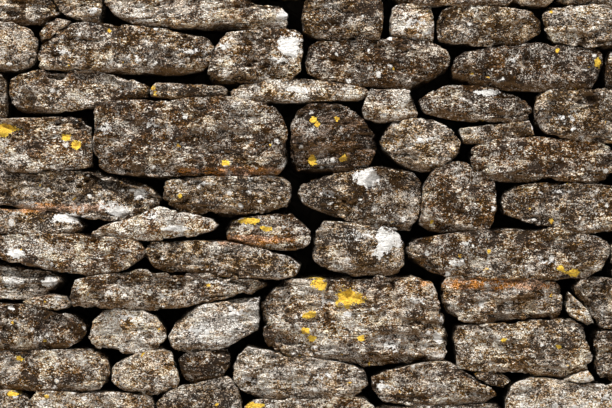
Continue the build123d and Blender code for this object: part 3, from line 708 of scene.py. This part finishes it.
def limestone_group():
    """Weathered limestone: beds, blotches of dark film, cream flakes and fine grain, with its height."""
    group, t, given, out = new_group(
        "weathered limestone",
        {"Place": "Vector", "Tone": "Float", "Warmth": "Float", "Strata": "Float", "Rust": "Float",
         "Body": "Color", "Brown": "Color", "Cream": "Color", "Tan": "Color", "Flake": "Color",
         "Ruddy": "Color", "Iron": "Color", "Soot": "Color"},
        {"Color": "Color", "Height": "Float"},
    )
    place, tone, warmth = given["Place"], given["Tone"], given["Warmth"]
    flat = t.stretched(place, (1.0, 1.0, 1.6))
    apart = t.stretched(flat, (1.0, 1.0, 1.0), (7.3, 3.1, 5.7))
    beds = t.stretched(place, (0.28, 0.28, 1.9))
    along = t.stretched(apart, (0.42, 0.42, 1.5))
    broad = t.noise(place, 12.0, 3.0, 0.6)
    areas = t.noise(place, 26.0, 2.0, 0.6)
    film = t.noise(apart, 17.0, 3.0, 0.65)
    blotch = t.noise(flat, 70.0, 3.0, 0.8, 0.3)
    streak = t.noise(beds, 90.0, 3.0, 0.65)
    seams = t.noise(along, 34.0, 3.0, 0.62, 0.5)
    black = t.noise(flat, 170.0, 1.0, 0.9)
    flake = t.noise(apart, 150.0, 1.0, 0.9)
    grain = t.noise(apart, 330.0, 0.0, 0.6)

    # Where the rock is pale, and where the dark film has taken hold
    bedded = t.total(t.times(given["Strata"], 0.45), 0.15)
    light = t.total(t.swing(areas, 1.05), t.swing(blotch, 0.82), t.swing(streak, bedded),
                    t.times(tone, 0.12))
    pale = t.ramp(t.total(flake, light), 0.558, 0.588)
    dark = t.ramp(t.less(black, light), 0.517, 0.542)

    # Bare rock, with iron stains and grain
    warm = t.total(t.times(warmth, 0.5), t.less(broad, 0.42))
    base = t.mix(t.ramp(warm, 0.0, 0.35), given["Body"], given["Brown"])
    fresh = t.mix(t.ramp(broad, 0.42, 0.60), given["Cream"], given["Tan"])
    fresh = t.mix(t.ramp(flake, 0.56, 0.70), fresh, given["Flake"])
    fresh = t.mix(t.times(t.ramp(warmth, 0.5, 1.9), 0.85), fresh, given["Ruddy"])
    shade = t.mix(t.times(pale, 0.92), base, fresh)
    stain = t.times(t.ramp(given["Rust"], 0.1, 0.7), t.ramp(blotch, 0.30, 0.52))
    shade = t.mix(t.times(stain, 0.86), shade, given["Iron"])
    grit = t.total(t.times(t.ramp(grain, 0.37, 0.63), 1.28), 0.34)
    shade = t.tinted(shade, grit, t.total(t.times(grit, -0.48), 1.64))

    # The film, and fine cracks along the beds painted near black as painted shade in them
    shade = t.mix(t.times(dark, t.less(0.94, t.times(stain, 0.45))), shade, given["Soot"])
    split = t.maths("ABSOLUTE", t.less(seams, 0.5))
    shaded_crack = t.less(t.ramp(areas, 0.42, 0.56), t.ramp(split, 0.003, 0.020), clamp=True)
    shade = t.mix(t.times(shaded_crack, 0.85), shade, given["Soot"])

    # Each stone's own lightness, greyer where the film is thin, and never lighter than real rock
    shade = t.tinted(shade, t.total(1.0, t.times(tone, 0.30)))
    cold = t.times(t.maths("MINIMUM", warmth, 0.0), 0.28)
    shade = t.tinted(shade, saturation=t.total(t.times(t.ramp(film, 0.40, 0.60), -0.38), 1.10, cold))
    t.tree.links.new(t.mix(1.0, shade, LIGHTEST, "DARKEN"), out["Color"])

    # Relief finer than the mesh, in metres
    raised = t.total(t.times(blotch, 0.0070), t.times(flake, 0.0042))
    height = t.less(t.less(raised, t.times(black, 0.0045)), t.times(shaded_crack, 0.0034))
    t.tree.links.new(height, out["Height"])
    return group


def lichen_group():
    """Crust lichen over a colour: ragged patches where the mesh asks for them, and small ones scattered."""
    group, t, given, out = new_group(
        "crust lichen",
        {"Place": "Vector", "Under": "Color", "White Patch": "Float", "Gold Patch": "Float",
         "Scatter": "Float", "White": "Color", "Grey": "Color", "Gold": "Color", "Old Gold": "Color"},
        {"Color": "Color", "Cover": "Float"},
    )
    place = given["Place"]
    ragged = t.noise(place, 85.0, 3.0, 0.7)
    fine = t.noise(place, 300.0, 2.0, 0.8)
    edge = t.total(t.times(ragged, 1.9), t.times(fine, 0.9))
    spots = t.total(t.noise(place, 21.0, 2.0, 0.6), t.times(ragged, 0.8), t.times(fine, 0.7),
                    t.times(given["Scatter"], 0.1))
    thin = t.ramp(t.total(spots, t.times(fine, 0.8)), 1.93, 1.97)
    shade = t.mix(t.times(thin, 0.85), given["Under"], given["Grey"])

    # Small round crusts, each in a cell of its own and with a size by chance
    cells = t.node("ShaderNodeTexVoronoi", {"Vector": place, "Scale": 42.0}).outputs
    chance = t.node("ShaderNodeSeparateColor", {0: cells["Color"]}).outputs
    away = t.total(cells["Distance"], t.swing(ragged, 0.9), t.swing(fine, 0.35))
    white_dots = t.ramp(t.less(t.times(t.less(chance[0], 0.62), 0.75), away), 0.0, 0.04)
    gold_dots = t.ramp(t.less(t.times(t.less(chance[1], 0.90), 2.4), away), 0.0, 0.04)

    white_patch = t.ramp(t.total(given["White Patch"], edge), 2.06, 2.10)
    white = t.most(white_patch, t.ramp(spots, 1.62, 1.68), white_dots)
    solid = t.total(fine, t.times(given["White Patch"], 0.07))
    shade = t.mix(white, shade, t.mix(t.ramp(solid, 0.36, 0.56), given["Grey"], given["White"]))
    specks = t.total(t.noise(place, 38.0, 1.0, 0.5), t.times(fine, 0.55))
    gold_patch = t.ramp(t.total(given["Gold Patch"], edge), 2.10, 2.14)
    gold = t.most(gold_patch, t.ramp(specks, 1.17, 1.21), gold_dots)
    shade = t.mix(gold, shade, t.mix(t.ramp(fine, 0.35, 0.6), given["Old Gold"], given["Gold"]))
    t.tree.links.new(shade, out["Color"])
    t.tree.links.new(t.most(white, gold), out["Cover"])
    return group


def limestone():
    """The wall's rock, made once: limestone with lichen on it, painted shade deep in the joints, and
    undersides painted browner and darker, partly as shade.
    """
    if LIMESTONE in bpy.data.materials:
        return bpy.data.materials[LIMESTONE]
    material, t = new_material(LIMESTONE)
    rock, lichen = bpy.context.scene.wall_limestone, bpy.context.scene.wall_lichen
    spot = t.node("ShaderNodeTexCoord").outputs["Object"]
    shifted = t.node("ShaderNodeVectorMath", {0: spot, 1: t.field("shift", "Vector")}, operation="ADD")
    place = shifted.outputs[0]
    stone = t.node("ShaderNodeGroup", {
        "Place": place, "Tone": t.field("tone"), "Warmth": t.field("warmth"), "Strata": t.field("strata"),
        "Rust": t.field("rust"), "Body": colour(rock.body), "Brown": colour(rock.brown),
        "Cream": colour(rock.cream), "Tan": colour(rock.tan), "Flake": colour(rock.flake),
        "Ruddy": colour(rock.ruddy), "Iron": colour(rock.iron), "Soot": colour(rock.soot),
    }, node_tree=limestone_group()).outputs
    crust = t.node("ShaderNodeGroup", {
        "Place": place, "Under": stone["Color"], "White Patch": t.field("white_crust"),
        "Gold Patch": t.field("gold_crust"), "Scatter": lichen.scatter, "White": colour(lichen.white),
        "Grey": colour(lichen.grey), "Gold": colour(lichen.gold), "Old Gold": colour(lichen.old_gold),
    }, node_tree=lichen_group()).outputs
    normal = t.node("ShaderNodeNewGeometry").outputs["Normal"]
    facing = t.node("ShaderNodeSeparateXYZ", {0: normal}).outputs["Z"]
    # Partly painted shade: where a face turns down it is painted browner and darker
    under = t.ramp(t.times(facing, -1.0), 0.20, 0.80)
    shade = t.mix(t.times(under, 0.50), crust["Color"], colour(rock.underside_shade_and_brown))
    # Painted shade: the rock is painted towards near black deeper in the joints, where shadow falls
    shade = t.mix(t.times(t.field("joint_shade_depth"), 0.97), shade, colour(rock.deep_joint_shade))
    height = t.total(stone["Height"], t.times(crust["Cover"], CRUST_THICKNESS))
    bump = t.node("ShaderNodeBump", {"Height": height, "Strength": 1.0, "Distance": 1.0}).outputs["Normal"]
    shader = t.node("ShaderNodeBsdfPrincipled", {"Base Color": shade, "Roughness": 0.92, "Normal": bump,
                                                 "Specular IOR Level": 0.08})
    t.node("ShaderNodeOutputMaterial", {"Surface": shader.outputs["BSDF"]})
    return material


def rubble():
    """The small stone of the hearting, painted near black as the shade deep in the joints."""
    material, t = new_material("hearting rubble")
    rock = bpy.context.scene.wall_limestone
    where = {"Vector": t.node("ShaderNodeTexCoord").outputs["Object"], "Scale": 22.0}
    cells = t.node("ShaderNodeTexVoronoi", where).outputs["Color"]
    tone = t.node("ShaderNodeSeparateColor", {0: cells}).outputs[0]
    # Painted shade: near-black tones for the hearting, which is seen deep in the joints
    shade = t.mix(tone, colour(rock.deep_joint_shade), colour(rock.rubble))
    edges = t.node("ShaderNodeTexVoronoi", where, feature="DISTANCE_TO_EDGE").outputs["Distance"]
    bump = t.node("ShaderNodeBump", {"Height": t.ramp(edges, 0.0, 0.2), "Distance": 0.01}).outputs["Normal"]
    shader = t.node("ShaderNodeBsdfPrincipled", {"Base Color": shade, "Roughness": 0.95, "Normal": bump})
    t.node("ShaderNodeOutputMaterial", {"Surface": shader.outputs["BSDF"]})
    return material


# The studio


def lay_floor(scene):
    """A wide pale floor that takes the wall's shadow."""
    mesh = bpy.data.meshes.new("floor")
    corners = [(side * FLOOR_HALF, end * FLOOR_HALF, 0) for side, end in ((-1, -1), (1, -1), (1, 1), (-1, 1))]
    mesh.from_pydata(corners, [], [(0, 1, 2, 3)])
    floor = bpy.data.objects.new("floor", mesh)
    scene.collection.objects.link(floor)
    material, t = new_material("pale floor")
    shader = t.node("ShaderNodeBsdfPrincipled", {"Base Color": (0.72, 0.71, 0.69, 1.0), "Roughness": 0.9})
    t.node("ShaderNodeOutputMaterial", {"Surface": shader.outputs["BSDF"]})
    mesh.materials.append(material)


def light_sky(scene, strength):
    """Even light from all round, and a plain pale background where the camera sees past the floor."""
    world = bpy.data.worlds.new("studio")
    scene.world = world
    world.use_nodes = True
    world.node_tree.nodes.clear()
    t = Tree(world.node_tree)
    rays = t.node("ShaderNodeLightPath").outputs
    seen = t.most(rays["Is Camera Ray"], rays["Is Glossy Ray"], rays["Is Transmission Ray"])
    even = t.node("ShaderNodeBackground", {"Color": (1.0, 0.98, 0.95, 1.0), "Strength": strength})
    plain = t.node("ShaderNodeBackground", {"Color": (0.9, 0.9, 0.9, 1.0), "Strength": 1.0})
    both = t.node("ShaderNodeMixShader", {0: seen, 1: even.outputs[0], 2: plain.outputs[0]})
    t.node("ShaderNodeOutputWorld", {"Surface": both.outputs[0]})


def hang_lamp(scene, name, where, size, power):
    """A square lamp that is turned to the middle of the wall."""
    lamp = bpy.data.lights.new(name, "AREA")
    lamp.energy, lamp.size = power, size
    holder = bpy.data.objects.new(name, lamp)
    holder.location = where
    away = [b - a for a, b in zip(where, LAMP_AIM)]
    flat = math.hypot(away[0], away[1])
    holder.rotation_euler = (math.atan2(flat, -away[2]), 0.0, math.atan2(away[1], away[0]) - math.pi / 2)
    scene.collection.objects.link(holder)


def place_camera(scene, distance):
    """A camera square to the front face, whose picture is the grid's part that is seen closest."""
    camera = bpy.data.cameras.new("camera")
    left, top = on_face(0.0, 0.0)
    right, bottom = on_face(VIEW_WIDTH, VIEW_HEIGHT)
    camera.sensor_width = 36.0
    camera.lens = camera.sensor_width * distance / (right - left)
    holder = bpy.data.objects.new("camera", camera)
    holder.location = ((left + right) / 2, VIEW_FACE - distance, (top + bottom) / 2)
    holder.rotation_euler = (math.pi / 2, 0.0, 0.0)
    scene.collection.objects.link(holder)
    scene.camera = holder


class WALL_OT_dress_front(bpy.types.Operator):
    """Dress the stones of the front face"""

    bl_idname = "wall.dress_front"
    bl_label = "Front face"

    def execute(self, context):
        dress_face(FRONT_NODES, close=True)
        return {"FINISHED"}


class WALL_OT_dress_back(bpy.types.Operator):
    """Dress the stones of the back face"""

    bl_idname = "wall.dress_back"
    bl_label = "Back face"

    def execute(self, context):
        dress_face(BACK_NODES, close=False)
        return {"FINISHED"}


class WALL_OT_dress_ends(bpy.types.Operator):
    """Dress the stones that run right across the wall, and the fillers at its ends"""

    bl_idname = "wall.dress_ends"
    bl_label = "Ties and through stones"

    def execute(self, context):
        for node in ACROSS_NODES:
            dress(node, close=True, both_faces=True)
        return {"FINISHED"}


class WALL_OT_dress_cope(bpy.types.Operator):
    """Dress the stones set on edge along the top"""

    bl_idname = "wall.dress_cope"
    bl_label = "Cope"

    def execute(self, context):
        for node in COPE_NODES:
            dress(node, both_faces=True, proud=0.0)
        return {"FINISHED"}


class WALL_OT_fill_core(bpy.types.Operator):
    """Give the hearting its packed stone, painted near black as shade"""

    bl_idname = "wall.fill_core"
    bl_label = "Hearting"

    def execute(self, context):
        material = rubble()
        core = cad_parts["hearting"]
        if not core.data.materials:
            core.data.materials.append(material)
        for slot in core.material_slots:
            slot.material = material
        return {"FINISHED"}


class WALL_OT_set_studio(bpy.types.Operator):
    """Lay the floor, hang the lamps and place the camera"""

    bl_idname = "wall.set_studio"
    bl_label = "Studio"

    def execute(self, context):
        scene, studio = context.scene, context.scene.wall_studio
        scene.view_settings.view_transform = "Standard"
        lay_floor(scene)
        light_sky(scene, studio.sky)
        for name, where, size, share in LAMPS:
            hang_lamp(scene, name, where, size, studio.lamp * share)
        place_camera(scene, studio.distance)
        return {"FINISHED"}


class WALL_PT_tools(bpy.types.Panel):
    """The steps that dress the wall"""

    bl_idname = "WALL_PT_tools"
    bl_label = "Dry stone wall"
    bl_space_type = "VIEW_3D"
    bl_region_type = "UI"
    bl_category = "Wall"

    def draw(self, context):
        for step in STEPS:
            self.layout.operator(step.bl_idname)
        for group in SETTINGS:
            settings = getattr(context.scene, group)
            box = self.layout.box()
            for name in settings.__annotations__:
                box.prop(settings, name)


SETTINGS = {
    "wall_stones": DressedStoneSettings,
    "wall_limestone": LimestoneSettings,
    "wall_lichen": LichenSettings,
    "wall_studio": StudioSettings,
}
STEPS = (
    WALL_OT_set_studio,
    WALL_OT_fill_core,
    WALL_OT_dress_front,
    WALL_OT_dress_back,
    WALL_OT_dress_ends,
    WALL_OT_dress_cope,
)


def register():
    """Make the settings, steps and panel known."""
    for settings in SETTINGS.values():
        bpy.utils.register_class(settings)
    for step in STEPS:
        bpy.utils.register_class(step)
    bpy.utils.register_class(WALL_PT_tools)
    for name, settings in SETTINGS.items():
        setattr(bpy.types.Scene, name, bpy.props.PointerProperty(type=settings))


def unregister():
    """Take them away again."""
    for name in SETTINGS:
        delattr(bpy.types.Scene, name)
    bpy.utils.unregister_class(WALL_PT_tools)
    for step in reversed(STEPS):
        bpy.utils.unregister_class(step)
    for settings in reversed(SETTINGS.values()):
        bpy.utils.unregister_class(settings)


def main():
    """Dress the whole wall."""
    register()
    bpy.ops.wall.set_studio()
    bpy.ops.wall.fill_core()
    bpy.ops.wall.dress_front()
    bpy.ops.wall.dress_back()
    bpy.ops.wall.dress_ends()
    bpy.ops.wall.dress_cope()


if __name__ == "__main__":
    main()
